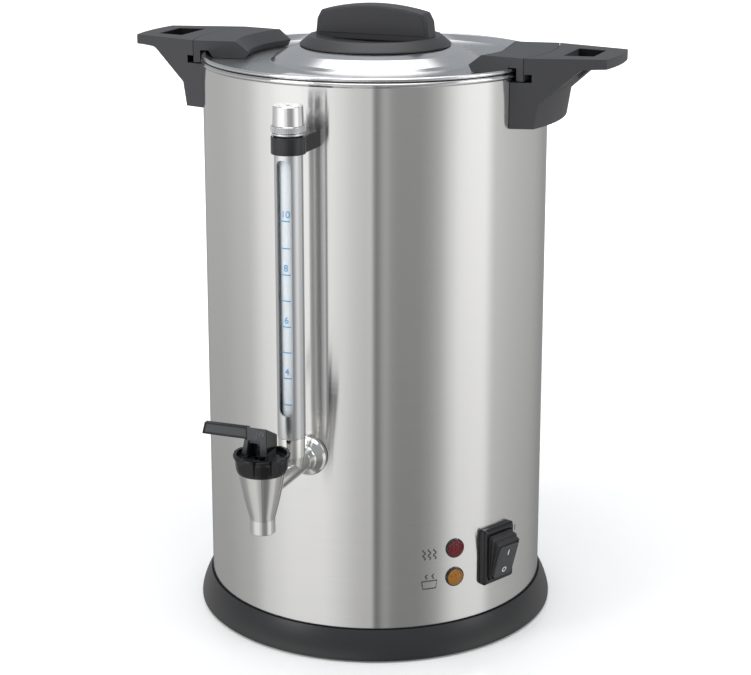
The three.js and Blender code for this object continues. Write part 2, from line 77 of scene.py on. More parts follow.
# ---- Shader helpers ----
class Nodes:
    """Builds a small node tree, one call for each node."""

    def __init__(self, tree):
        self.tree = tree
        tree.nodes.clear()

    def add(self, kind, inputs=None, **settings):
        node = self.tree.nodes.new(kind)
        for key, value in settings.items():
            setattr(node, key, value)
        for key, value in (inputs or {}).items():
            if isinstance(value, bpy.types.NodeSocket):
                self.tree.links.new(value, node.inputs[key])
            else:
                node.inputs[key].default_value = value
        return node

    def math(self, operation, a, b=0.0, c=0.0, clamp=False):
        node = self.add("ShaderNodeMath", {0: a, 1: b, 2: c}, operation=operation)
        node.use_clamp = clamp
        return node.outputs[0]

    def remap(self, value, a, b, c, d):
        node = self.add("ShaderNodeMapRange", {0: value, 1: a, 2: b, 3: c, 4: d})
        return node.outputs[0]

    def mix(self, factor, a, b):
        node = self.add("ShaderNodeMix", data_type="RGBA")
        for socket, value in zip((0, 6, 7), (factor, a, b)):
            if isinstance(value, bpy.types.NodeSocket):
                self.tree.links.new(value, node.inputs[socket])
            else:
                node.inputs[socket].default_value = value
        return node.outputs[2]

    def ramp(self, value, stops, interpolation="LINEAR"):
        node = self.add("ShaderNodeValToRGB", {0: value})
        band = node.color_ramp
        band.interpolation = interpolation
        for i, (place, colour) in enumerate(stops):
            stop = band.elements[i] if i < 2 else band.elements.new(place)
            stop.position = place
            stop.color = (*colour, 1) if len(colour) == 3 else colour
        return node.outputs[0]

    def noise(self, stretch, scale=1.0, detail=3.0, roughness=0.55):
        place = self.add("ShaderNodeTexCoord").outputs["Object"]
        mapped = self.add("ShaderNodeMapping", {"Vector": place, "Scale": stretch})
        made = self.add("ShaderNodeTexNoise", {
            "Vector": mapped.outputs[0], "Scale": scale, "Detail": detail, "Roughness": roughness})
        return made.outputs["Fac"]


def shade(rgb, k):
    return tuple(min(1.0, c * k) for c in rgb) + (1.0,)


def material(name, rgb, rough, metallic=0.0, grain=(400, 400, 400), vary=0.06, rough_vary=0.05,
             bump=0.0, depth=0.0001, detail=3.0, tangent=False, **sockets):
    """A procedural finish: noise along `grain` varies the colour, the roughness and the relief."""
    made = bpy.data.materials.new(name)
    made.use_nodes = True
    made.diffuse_color = (*rgb, 1)
    n = Nodes(made.node_tree)
    noise = n.noise(grain, detail=detail)
    colour = n.mix(noise, shade(rgb, 1 - vary), shade(rgb, 1 + vary))
    inputs = {
        "Base Color": colour,
        "Roughness": n.remap(noise, 0.3, 0.7, max(0.02, rough - rough_vary), rough + rough_vary),
        "Metallic": metallic,
    }
    if bump:
        inputs["Normal"] = n.add("ShaderNodeBump", {
            "Strength": bump, "Distance": depth, "Height": noise}).outputs[0]
    if tangent:
        inputs["Tangent"] = n.add("ShaderNodeTangent", direction_type="RADIAL", axis="Z").outputs[0]
    shader = n.add("ShaderNodeBsdfPrincipled", inputs)
    for key, value in sockets.items():
        shader.inputs[key.replace("_", " ")].default_value = value
    n.add("ShaderNodeOutputMaterial", {"Surface": shader.outputs[0]})
    return made


BRUSHED = material("brushed_steel", (0.74, 0.735, 0.725), 0.165, 1.0, (26, 26, 2600), 0.055, 0.02,
                   bump=0.06, depth=0.00003, detail=5, tangent=True,
                   Anisotropic=1.0, Anisotropic_Rotation=0.25)
PLAIN_STEEL = material("plain_steel", (0.66, 0.66, 0.67), 0.34, 1.0, (60, 60, 60), 0.05)
POLISHED = material("polished_metal", (0.80, 0.80, 0.81), 0.16, 1.0, (40, 40, 40), 0.02, 0.015)
# Painted shade: a darker copy of the polished lid metal, for the flat ring's dimmer reflection; it is also
# rougher.
LID_FLAT_PAINTED_SHADE = material("lid_flat_painted_shade", (0.56, 0.57, 0.58), 0.28, 1.0, (40, 40, 40), 0.02, 0.015)
CAP_METAL = material("cap_metal", (0.82, 0.82, 0.83), 0.10, 1.0, (40, 40, 40), 0.02, 0.01)
TAP_METAL = material("tap_metal", (0.76, 0.755, 0.73), 0.13, 1.0, (40, 40, 120), 0.015, 0.01)
FASTENER = material("fastener_steel", (0.62, 0.62, 0.63), 0.3, 1.0, (300, 300, 300), 0.06)
ALUMINIUM = material("aluminium", (0.78, 0.79, 0.80), 0.3, 1.0, (700, 700, 12), 0.03, 0.03)
CHARCOAL = material("charcoal_plastic", (0.036, 0.036, 0.039), 0.44, 0.0, (1500, 1500, 1500), 0.12,
                    0.05, bump=0.25, depth=0.00012)
BASE_PLASTIC = material("base_plastic", (0.021, 0.021, 0.022), 0.34, 0.0, (900, 900, 900), 0.10,
                        0.04, bump=0.10, depth=0.0001)
BLACK = material("black_plastic", (0.014, 0.014, 0.016), 0.18, 0.0, (500, 500, 500), 0.10, 0.03,
                 bump=0.03)
NUT = material("nut_plastic", (0.007, 0.007, 0.008), 0.14, 0.0, (500, 500, 500), 0.08, 0.02,
               Specular_IOR_Level=0.4)
LEVER = material("lever_plastic", (0.050, 0.053, 0.058), 0.34, 0.0, (600, 600, 600), 0.10, 0.04,
                 bump=0.05)
ROCKER = material("rocker_plastic", (0.045, 0.047, 0.048), 0.38, 0.0, (900, 900, 900), 0.10, 0.04)
RUBBER = material("rubber", (0.020, 0.020, 0.022), 0.6, 0.0, (800, 800, 800), 0.15, 0.06, bump=0.1)
SILICONE = material("silicone", (0.75, 0.73, 0.68), 0.5, 0.0, (300, 300, 300), 0.04)
CERAMIC = material("ceramic", (0.82, 0.79, 0.72), 0.6, 0.0, (500, 500, 500), 0.05, bump=0.1)
WIRE = material("wire_cover", (0.04, 0.04, 0.045), 0.45, 0.0, (300, 300, 300), 0.1)
PRINT = material("grey_print", (0.06, 0.06, 0.065), 0.45, 0.0, (900, 900, 900), 0.1)
WHITE_PRINT = material("white_print", (0.80, 0.80, 0.80), 0.45, 0.0, (900, 900, 900), 0.05)
BLUE_PRINT = material("blue_print", (0.03, 0.30, 0.62), 0.4, 0.0, (900, 900, 900), 0.08)
# Painted shade: a near-black matte finish for dark sheets put where shade falls, in the foot ring's joint
# and inside the handle windows.
SHADE = material("painted_shade_black", (0.004, 0.004, 0.004), 0.7, 0.0, (500, 500, 500), 0.1,
                 Specular_IOR_Level=0.15)
# Painted highlight: a lighter grey copy of the lever plastic for its small raised ribs.
RIB_HIGHLIGHT = material("rib_painted_highlight", (0.12, 0.12, 0.13), 0.3, 0.0, (600, 600, 600), 0.08)
LABEL = material("blank_label", (0.62, 0.64, 0.66), 0.35, 0.0, (300, 300, 300), 0.05)


def glassy(name, rgb, rough, ior, transmission, vary=0.05, facets=0.0):
    """A clear finish. facets sets a fine prism pattern on it."""
    made = bpy.data.materials.new(name)
    made.use_nodes = True
    n = Nodes(made.node_tree)
    noise = n.noise((300, 300, 300))
    inputs = {
        "Base Color": n.mix(noise, shade(rgb, 1 - vary), shade(rgb, 1 + vary)),
        "Roughness": rough, "IOR": ior, "Transmission Weight": transmission,
    }
    if facets:
        place = n.add("ShaderNodeTexCoord").outputs["Object"]
        cells = n.add("ShaderNodeTexVoronoi", {"Vector": place, "Scale": facets}, feature="F1")
        inputs["Normal"] = n.add("ShaderNodeBump", {
            "Strength": 0.8, "Distance": 0.0006, "Height": cells.outputs["Distance"]}).outputs[0]
    shader = n.add("ShaderNodeBsdfPrincipled", inputs)
    n.add("ShaderNodeOutputMaterial", {"Surface": shader.outputs[0]})
    return made


CLEAR = glassy("clear_tube", (0.86, 0.92, 0.96), 0.08, 1.4, 0.25)
RED = glassy("red_lens", (0.17, 0.005, 0.012), 0.12, 1.49, 0.35, 0.25, 900)
AMBER = glassy("amber_lens", (0.42, 0.17, 0.010), 0.12, 1.49, 0.35, 0.25, 900)


# ---- Mesh helpers ----
def publish(name, mesh, finish, sharp=35.0):
    mesh.materials.clear()
    mesh.materials.append(finish)
    mesh.shade_smooth()
    mesh.set_sharp_from_angle(angle=math.radians(sharp))
    made = bpy.data.objects.new(name, mesh)
    scene.collection.objects.link(made)
    return made


def from_faces(name, points, faces, finish, sharp=35.0):
    mesh = bpy.data.meshes.new(name)
    mesh.from_pydata([[c * MM for c in p] for p in points], [], faces)
    work = bmesh.new()
    work.from_mesh(mesh)
    bmesh.ops.recalc_face_normals(work, faces=work.faces)
    work.to_mesh(mesh)
    work.free()
    return publish(name, mesh, finish, sharp)


def rounded(points, radius, steps=4, closed=True):
    """Points with their corners rounded. A point's own third number overrides the radius."""
    made = []
    last = len(points) - 1
    for i, p in enumerate(points):
        here = Vector(p[:2])
        r = p[2] if len(p) > 2 else radius
        if r == 0 or (not closed and i in (0, last)):
            made.append(tuple(here))
            continue
        a = Vector(points[i - 1][:2]) - here
        b = Vector(points[(i + 1) % len(points)][:2]) - here
        half = a.angle(b) / 2
        reach = min(r / math.tan(half), 0.49 * a.length, 0.49 * b.length)
        a, b = a.normalized() * reach, b.normalized() * reach
        for k in range(steps + 1):
            t = k / steps
            made.append(tuple(here + a * (1 - t) ** 2 + b * t**2))
    return made


def lathe(name, profile, finish, sides=192, place=None, sharp=35.0):
    """A profile of (radius, height) turned about Z. It closes on itself unless both ends are on it."""
    points, rings = [], []
    for r, z in profile:
        if r < 1e-6:
            rings.append([len(points)] * sides)
            points.append((0.0, 0.0, z))
            continue
        rings.append(list(range(len(points), len(points) + sides)))
        for i in range(sides):
            a = 2 * math.pi * i / sides
            points.append((r * math.cos(a), r * math.sin(a), z))
    faces = []
    open_end = profile[0][0] < 1e-6 and profile[-1][0] < 1e-6
    for k in range(len(rings) - (1 if open_end else 0)):
        lower, upper = rings[k], rings[(k + 1) % len(rings)]
        for i in range(sides):
            j = (i + 1) % sides
            quad = list(dict.fromkeys((lower[i], lower[j], upper[j], upper[i])))
            if len(quad) > 2:
                faces.append(quad)
    if place is not None:
        points = [tuple(place @ Vector(p)) for p in points]
    return from_faces(name, points, faces, finish, sharp)


def arc(cx, cz, rx, rz, start, end, steps):
    """Points on an ellipse, between two angles in degrees."""
    turn = [math.radians(start + (end - start) * i / steps) for i in range(steps + 1)]
    return [(cx + rx * math.cos(a), cz + rz * math.sin(a)) for a in turn]


def wall(azimuth, z):
    """Local u across, v up and w outwards, at an azimuth from the front towards +X."""
    a = math.radians(azimuth)
    return Matrix((
        (math.cos(a), 0, math.sin(a), 0), (math.sin(a), 0, -math.cos(a), 0), (0, 1, 0, z), (0, 0, 0, 1)))


FRONT = wall(0, 0)


def prism(name, outline, w0, w1, finish, place=None, sharp=35.0):
    """An outline of (u, v) drawn out from w0 to w1."""
    count = len(outline)
    points = [(u, v, w0) for u, v in outline] + [(u, v, w1) for u, v in outline]
    if place is not None:
        points = [tuple(place @ Vector(p)) for p in points]
    faces = [list(range(count))[::-1], list(range(count, 2 * count))]
    faces += [[i, (i + 1) % count, count + (i + 1) % count, count + i] for i in range(count)]
    return from_faces(name, points, faces, finish, sharp)


def round_rect(w, h, r, steps=6):
    return rounded([(-w / 2, -h / 2), (w / 2, -h / 2), (w / 2, h / 2), (-w / 2, h / 2)], r, steps)


def combine(piece, *others, operation="DIFFERENCE"):
    """Cuts, joins or intersects meshes for good."""
    for other in others:
        step = piece.modifiers.new("combine", "BOOLEAN")
        step.object, step.operation, step.solver = other, operation, "EXACT"
        bpy.context.view_layer.update()
        ready = piece.evaluated_get(bpy.context.evaluated_depsgraph_get())
        mesh = bpy.data.meshes.new_from_object(ready)
        piece.modifiers.clear()
        piece.data = mesh
        bpy.data.objects.remove(other)
    piece.data.shade_smooth()
    piece.data.set_sharp_from_angle(angle=math.radians(35))
    return piece


def soften(piece, width, segments=3, angle=32):
    """Rounds the edges that are sharper than the angle."""
    step = piece.modifiers.new("soften", "BEVEL")
    step.width, step.segments = width * MM, segments
    step.limit_method, step.angle_limit = "ANGLE", math.radians(angle)
    step.harden_normals = True
    step.use_clamp_overlap = True
    return piece


def moved(y=0.0, z=0.0):
    return Matrix.Translation((0.0, y, z))


def stand_in(piece, body, slot, *nodes):
    """piece rides on a body and stands in for the CAD nodes, which it hides. slot is not used."""
    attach(piece, body)
    if nodes:
        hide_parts(*nodes)
    return piece


# ---- Tank, base ring and lid ----
def tank():
    bead = arc(BODY_R - 0.5, RIM_Z + 1.85, 1.7, 1.75, -40, 205, 16)
    profile = [(118, BODY_Z0), (BODY_R, BODY_Z0), (BODY_R, 200), (BODY_R, RIM_Z), *bead,
               (BODY_R - 1.2, RIM_Z), (BODY_R - 1.2, BODY_Z0 + 1.2), (118, BODY_Z0 + 1.2)]
    body = lathe("tank_wall", profile, BRUSHED, 256)
    opening = prism("opening", round_rect(23.6, 32.6, 2), 100, 150, BRUSHED, wall(SWITCH_AZ, SWITCH_Z))
    inlet = prism("opening_2", round_rect(27.6, 20.6, 2), 100, 150, BRUSHED, wall(180, 44))
    return stand_in(combine(body, opening, inlet), "root", "brushed_steel", "body_shell")


def base():
    flare = []
    for i in range(17):
        t = i / 16
        flare.append((131.5 + 7.5 * (1 - (1 - t) ** 1.5), 23 - 20 * t))
    profile = [(130.4, 22.6), (130.6, 23.1), (131.2, 23.1), *flare, (138.9, 1.9), (138.2, 1.2),
               (136.6, 1.2), (136.6, 5), (132, 13.2), (119, 13.2), (119, 15.7), (130.4, 15.7)]
    # Painted shadow: a black band in the joint between the foot ring and the wall.
    gap = [(130.05, 22.8), (131.3, 22.8), (131.1, 23.6), (130.05, 23.8)]
    stand_in(lathe("foot_ring_shadow_gap", gap, SHADE, 256), "root", "charcoal_plastic")
    return stand_in(lathe("foot_ring", profile, BASE_PLASTIC, 256), "root", "charcoal_plastic", "base_ring")


def lid():
    rim = arc(128.6, 432, 1.9, 1.5, 160, -65, 18)
    upper = rounded([(0, 439.4, 0), (57, 439.4, 3), (66.5, 436.5, 6), (76, 431.2, 3),
                     (78.4, LID_Z, 1.2), (123.2, LID_Z, 1.5)], 0, 6, closed=False)
    lower = [(126.6, 430.4), (124.2, 427.4), (77.2, 427.4), (75, 430.2), (65.6, 435.3), (57, 438.2),
             (0, 438.2)]
    profile = upper + rim + lower
    # Painted shade: a thin skin of the darker lid metal over the flat ring.
    flat = [(78.6, LID_Z - 0.2), (123, LID_Z - 0.2), (123, LID_Z + 0.05), (78.6, LID_Z + 0.05)]
    stand_in(lathe("lid_flat", flat, LID_FLAT_PAINTED_SHADE, 256), "lid", "polished_metal")
    return stand_in(lathe("lid_dome", profile, POLISHED, 256), "lid", "polished_metal", "lid_shell")


def knob():
    skirt = rounded([(0, 439.8, 0), (57, 439.8, 0.4), (57, 440.9, 0.5), (49.8, 446.9, 1.2),
                     (44.5, 446.6, 1.5), (30, 443.6, 6), (0, 442.4, 0)], 0, 5, closed=False)
    stand_in(lathe("knob_skirt", skirt, CHARCOAL, 192), "lid", "charcoal_plastic", "lid_knob")
    arch = [(x, 470 - 5.2 * (x / 41) ** 2) for x in [41 - 82 * i / 24 for i in range(25)]]
    side = [(-46, 443), (46, 443), (44.4, 458), *arch, (-44.4, 458)]
    grip = prism("knob_grip", side, -8, 8, CHARCOAL, FRONT)
    stand_in(soften(grip, 1.4, 4, 25), "lid", "charcoal_plastic")
    for name, w0, w1 in (("front", 7.6, 8.4), ("back", -8.4, -7.6)):
        inset = [(x * 0.93, 456 + (z - 456) * 0.88) for x, z in side[2:]]
        panel = prism("knob_face_" + name, [(-42.6, 448), (42.6, 448), *inset], w0, w1, CHARCOAL, FRONT)
        stand_in(soften(panel, 0.35, 2, 25), "lid", "charcoal_plastic")


# ---- Handles and lid ears ----
def handle(side):
    outline = rounded([(120, 409), (141, 409, 2), (169, 433.6, 9), (178, 434.2, 4), (192, 434.6),
                       (192, EAR_TOP), (120, EAR_TOP)], 0, 6)
    body = prism("handle_" + side + "_grip", outline, -60, 60, CHARCOAL, FRONT)
    web = lathe("web", [(100, 391), (WEB_R, 391), (WEB_R + 2.8, 409), (WEB_R + 3.9, 416), (100, 416)],
                CHARCOAL, 288)
    half = prism("half", [(0, -60), (200, -60), (200, 60), (0, 60)], 380, 450, CHARCOAL)
    combine(web, half, operation="INTERSECT")
    combine(body, web, operation="UNION")
    tip_x, tip_half, wall_half = 186.7, 29.7, 45.1
    slope = (wall_half - tip_half) / (tip_x - 130.3)
    tip = [(tip_x + 3 * (1 - v * v), tip_half * v) for v in [-1 + i / 8 for i in range(17)]]
    plan = [(100, -wall_half - 30 * slope), *tip, (100, wall_half + 30 * slope)]
    combine(body, prism("plan", plan, 380, 450, CHARCOAL), operation="INTERSECT")
    window = rounded([(152.5, -21), (174, -17.5), (174, 17.5), (152.5, 21)], 1.5, 4)
    combine(body, prism("window", window, 400, 460, CHARCOAL),
            lathe("inner", [(0, 370), (BODY_R + 0.3, 370), (BODY_R + 0.3, 424.2), (143, 424.2), (143, 430),
                            (SEAM_R + 0.2, 430), (SEAM_R + 0.2, 460), (0, 460)], CHARCOAL, 192))
    # Painted shade: black liners on the walls of each handle's window, which read as the dark inside of the
    # grip.
    painted_shade_liner = prism("handle_" + side + "_pocket_painted_shade", window, 435.0, 441.1, SHADE)
    hollow = [(u * 0.996 + 0.6, v * 0.98) for u, v in window]
    combine(painted_shade_liner, prism("hollow", hollow, 430, 450, SHADE))
    if side == "left":
        for piece in (body, painted_shade_liner):
            piece.data.transform(Matrix.Rotation(math.pi, 4, "Z"))
    stand_in(painted_shade_liner, "root", "charcoal_plastic")
    soften(body, 0.55, 2, 30)
    return stand_in(body, "root", "charcoal_plastic", "handle_" + side)


def ear(side):
    out = SEAM_R - 0.2
    ring = lathe("ear_" + side + "_cover", [
        (98, 428.9), (122.9, 428.9), (126.2, 434.2), (132.6, 434.2), (132.6, 425), (out, 425),
        (out, EAR_TOP), (105, EAR_TOP), (95.5, 434)], CHARCOAL, 288)
    plan = prism("plan", [(80, -38), (98, -40), (131, -45.2), (145, -47.6), (145, 47.6), (131, 45.2),
                          (98, 40), (80, 38)], 420, 445, CHARCOAL)
    combine(ring, plan, operation="INTERSECT")
    if side == "left":
        ring.data.transform(Matrix.Rotation(math.pi, 4, "Z"))
    soften(ring, 0.5, 2, 30)
    return stand_in(ring, "lid", "charcoal_plastic", "lid_ear_" + side)


# ---- Lamps and switch ----
def lamp(use, z, finish, slot):
    place = wall(LAMP_AZ, z)
    bezel = rounded([(5.6, 130.3), (7.4, 130.3), (7.3, 131.1, 0.4), (6.7, 131.5, 0.2), (5.6, 131.4)], 0, 4)
    lens = [(0, 129), (6.5, 129), (6.5, 131.2)] + [
        (6.4 * math.cos(a), 131.4 + 1.9 * math.sin(a)) for a in [math.pi / 2 * i / 10 for i in range(11)]]
    lens[-1] = (0, 133.3)
    stand_in(lathe("lamp_" + use + "_rim", bezel, BLACK, 64, place), "root", "black_plastic",
             "lamp_" + use + "_bezel")
    stand_in(lathe("lamp_" + use + "_lens", lens, finish, 64, place), "root", slot, "lamp_" + use)


def switch():
    place = wall(SWITCH_AZ, SWITCH_Z)
    hollow = prism("hollow", round_rect(25.4, 35.4, 2), 131.2, 140, BLACK, place)
    shaft = prism("shaft", round_rect(21, 30, 1.5), 118, 140, BLACK, place)
    rim = prism("switch_rim", round_rect(32, 44, 2.5), 126.5, 133.4, BLACK, place)
    lip = prism("lip", round_rect(29.4, 41.4, 2), 132, 135, BLACK, place)
    neck = prism("neck", round_rect(23.2, 32.2, 1.5), 104, 133, BLACK, place)
    combine(rim, lip, operation="UNION")
    combine(rim, lathe("inside", [(0, 20), (BODY_R + 0.1, 20), (BODY_R + 0.1, 120), (0, 120)], BLACK, 192))
    combine(rim, neck, operation="UNION")
    combine(rim, hollow, shaft)
    stand_in(soften(rim, 0.7, 3, 30), "root", "black_plastic", "switch_frame")

    def tilted(share):
        """The wall frame, turned by a share of the rocker's tilt."""
        turn = Matrix.Rotation(math.radians(ROCKER_TILT * share), 4, "X")
        return place @ moved(z=BODY_R) @ turn

    key = prism("rocker_key", round_rect(20.2, 27.8, 3.4), 2.6, ROCKER_TOP, ROCKER, tilted(1))
    stand_in(soften(key, 0.9, 4, 30), "rocker", "black_plastic", "switch_rocker")
    marks = tilted(1) @ moved(z=ROCKER_TOP)
    on_mark = prism("rocker_mark_on", round_rect(0.9, 4.6, 0.2), 0, 0.12, WHITE_PRINT,
                    marks @ moved(y=7.6))
    off_mark = lathe("rocker_mark_off", [(1.5, 0), (2.2, 0), (2.2, 0.12), (1.5, 0.12)], WHITE_PRINT, 40,
                     marks @ moved(y=-7.8))
    for mark in (on_mark, off_mark):
        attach(mark, "rocker")
    # Each ring of the boot: width, height, distance out, and its share of the tilt.
    folds = [(24.8, 34.8, 1.6, 0.0), (24.8, 34.8, 6.4, 0.1), (22.9, 32.6, 6.6, 0.2),
             (22.9, 32.6, 7.1, 0.3), (24.2, 33.8, 7.3, 0.35), (24.2, 33.8, 8.7, 0.55),
             (22.3, 31.2, 8.9, 0.6), (22.3, 31.2, 9.3, 0.7), (23.0, 31.8, 9.5, 0.8),
             (23.0, 31.8, 10.7, 0.95), (21.3, 29.2, 10.9, 1.0), (20.7, 28.3, 9.0, 1.0)]
    points, faces = [], []
    count = len(round_rect(20, 30, 2.4))
    for w, h, n, share in folds:
        points += [tuple(tilted(share) @ Vector((u, v, n))) for u, v in round_rect(w, h, 2.4)]
    for k in range(len(folds) - 1):
        for i in range(count):
            j = (i + 1) % count
            faces.append([k * count + i, k * count + j, (k + 1) * count + j, (k + 1) * count + i])
    boot = from_faces("boot_folds", points, faces, RUBBER)
    thick = boot.modifiers.new("thickness", "SOLIDIFY")
    thick.thickness = 0.3 * MM
    a = math.radians(SWITCH_AZ)
    out = Vector((math.sin(a), -math.cos(a), 0))
    start, end = (out * (BODY_R + 1.4) * MM, out * (BODY_R + 10.6) * MM)
    for p in (start, end):
        p.z = SWITCH_Z * MM
    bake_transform(boot)
    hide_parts("switch_boot")


# ---- Sight gauge ----
def gauge():
    axis = moved(y=GAUGE_Y)
    sleeve = rounded([(8.8, 181.3), (10, 181.3, 0.3), (10, 397.2, 0.6), (11.3, 398.3, 0.4),
                      (11.3, 399.6, 0.3), (8.8, 399.6)], 0, 3)
    tube = lathe("gauge_sleeve", sleeve, ALUMINIUM, 96, axis)
    slot = prism("slot", round_rect(11, 183, 5.45, 12), 160, 190, ALUMINIUM, wall(0, 290))
    stand_in(soften(combine(tube, slot), 0.25, 2, 40), "root", "aluminium", "gauge_shield")
    stand_in(lathe("gauge_tube", [(5, 170.3), (6.5, 170.3), (6.5, 406), (5, 406)], CLEAR, 64, axis),
             "root", "clear_tube", "gauge_glass")
    band = rounded([(10.3, 385), (12.15, 385), (12.15, 397), (10.3, 397)], 0.5, 3)
    collar = lathe("gauge_collar", band, BLACK, 96, axis)
    arm = prism("arm", [(-10.5, 0), (10.5, 0), (10.5, -40), (-10.5, -40)], 385.2, 396.8, BLACK,
                moved(y=GAUGE_Y) @ Matrix.Diagonal((1, -1, 1, 1)))
    combine(arm, lathe("room", [(0, 380), (10.4, 380), (10.4, 400), (0, 400)], BLACK, 96, axis),
            lathe("room_2", [(0, 380), (130.3, 380), (130.3, 400), (0, 400)], BLACK, 192))
    stand_in(soften(arm, 0.4, 2, 40), "root", "black_plastic")
    stand_in(collar, "root", "black_plastic", "gauge_bracket")
    cap = rounded([(1.3, 418), (10.15, 418), (10.4, 417.75), (10.75, 404.7), (11.6, 404.3),
                   (11.6, 400.1), (6.9, 400.1), (6.9, 412), (1.3, 413.5)], 0, 4)
    cap = lathe("gauge_top_cap", cap, CAP_METAL, 96, axis, 20)
    stand_in(cap, "gauge_top", "polished_metal", "gauge_cap")
    knurl = []
    knurl_points = 288
    for i in range(knurl_points):
        turn, r = 2 * math.pi * i / knurl_points, 11.75 + (0.35 if i % 6 < 3 else 0.0)
        knurl.append((r * math.cos(turn), r * math.sin(turn)))
    ring = prism("gauge_top_grip", knurl, 400.4, 404.1, FASTENER, axis)
    stand_in(soften(ring, 0.12, 2, 30), "gauge_top", "polished_metal")


def wrapped(name, curve_mesh, radius, azimuth, z, finish, centre_y=0.0):
    """A flat print in mm bent round an upright cylinder."""
    work = bmesh.new()
    work.from_mesh(curve_mesh)
    bmesh.ops.triangulate(work, faces=work.faces)
    bmesh.ops.subdivide_edges(work, edges=[e for e in work.edges if e.calc_length() > 3], cuts=3)
    for v in work.verts:
        a = math.radians(azimuth) + v.co.x / radius
        height = z + v.co.y
        v.co = Vector((radius * math.sin(a), centre_y - radius * math.cos(a), height)) * MM
    work.to_mesh(curve_mesh)
    work.free()
    made = publish(name, curve_mesh, finish)
    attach(made, "root")
    return made


def lettering(text, height):
    """Flat digits of a cap height in mm."""
    curve = bpy.data.curves.new("lettering", "FONT")
    curve.body, curve.size = text, height * 1.37
    curve.align_x, curve.align_y = "CENTER", "CENTER"
    holder = bpy.data.objects.new("lettering", curve)
    scene.collection.objects.link(holder)
    bpy.context.view_layer.update()
    mesh = bpy.data.meshes.new_from_object(holder.evaluated_get(bpy.context.evaluated_depsgraph_get()))
    bpy.data.objects.remove(holder)
    return mesh


def strokes(lines, width):
    """Thick polylines as one flat mesh."""
    points, faces = [], []
    for line in lines:
        base = len(points)
        for i, p in enumerate(line):
            ahead = Vector(line[min(i + 1, len(line) - 1)]) - Vector(line[max(i - 1, 0)])
            side = Vector((-ahead.y, ahead.x)).normalized() * width / 2
            points += [(p[0] + side.x, p[1] + side.y, 0), (p[0] - side.x, p[1] - side.y, 0)]
        faces += [[base + 2 * i, base + 2 * i + 1, base + 2 * i + 3, base + 2 * i + 2]
                  for i in range(len(line) - 1)]
    mesh = bpy.data.meshes.new("strokes")
    mesh.from_pydata(points, [], faces)
    return mesh


def prints():
    """The gauge's litre marks and the plain symbols beside the lamps and the switch."""
    litres = {10: 338.5, 9: 319.3, 8: 300.5, 7: 281.8, 6: 263.1, 5: 244.4, 4: 225.6, 3: 206.2}
    for litre, z in litres.items():
        line = strokes([[(-3.3, 0), (3.3, 0)]], 0.75)
        wrapped(f"gauge_line_{litre}", line, GLASS_PRINT_R, 0, z, BLUE_PRINT, GAUGE_Y)
        if litre % 2 == 0:
            digits = lettering(str(litre), 5.0)
            wrapped(f"gauge_number_{litre}", digits, GLASS_PRINT_R, 0, z + 4.6, BLUE_PRINT, GAUGE_Y)
    wave = [(x / 3 - 4.0, 1.0 * math.sin(x / 3 * 1.5)) for x in range(25)]
    rising = [[(y + dx, x) for x, y in wave] for dx in (-4.2, 0, 4.2)]
    cup = [(-6, 2), (-5, -4), (5, -4), (6, 2), (-6, 2)]
    steam = [[(0.7 * math.sin(x * 1.1) + dx, 3.4 + x * 0.5) for x in range(9)] for dx in (-2.6, 2.6)]
    around = BODY_R + 0.06
    wrapped("mark_heating", strokes(rising, 1.0), around, LAMP_AZ - 9.0, 80, PRINT)
    wrapped("mark_keep_warm", strokes([cup, *steam], 1.0), around, LAMP_AZ - 9.0, 57, PRINT)
    wrapped("mark_on", strokes([[(0, -2.4), (0, 2.4)]], 0.9), around, SWITCH_AZ + 10.8, 82, PRINT)


# ---- Tap ----
def tap():
    axis = moved(y=TAP_Y)
    cone = []
    for i in range(13):
        t = i / 12
        cone.append((8.85 + 7.4 * t + 0.5 * math.sin(math.pi * t), 138 + 33.6 * t))
    spout = [(7, 129), (7, 127.8), (7.3, 127.5), (8.5, 127.5), (8.85, 127.9), (8.85, 137.4), *cone,
             (13.5, 171.8), (13.5, 177.5), (12, 177.5), (12, 162), (9.4, 150.2), (7, 149)]
    stand_in(lathe("tap_spout", spout, TAP_METAL, 96, axis), "root", "tap_metal", "tap_body")
    pipe = rounded([(4.4, 113), (6.2, 113), (6.2, 130.2), (14.7, 130.3, 0), (14.7, 133.6, 0.8),
                    (13.2, 135.4, 0.6), (8.6, 138.5, 3), (7.7, 144, 2), (7.7, 204), (4.4, 204)], 0, 5)
    stand_in(lathe("tap_pipe", pipe, TAP_METAL, 96, wall(0, TAP_Z)), "root", "tap_metal")
    socket = rounded([(4.4, 153), (6, 151.5, 2), (7.8, 157, 3), (9.6, 167, 3), (9.6, 181, 0.4),
                      (7, 181), (7, 170), (4.4, 170)], 0, 5)
    stand_in(lathe("gauge_socket", socket, TAP_METAL, 96, moved(y=GAUGE_Y)), "root", "tap_metal")


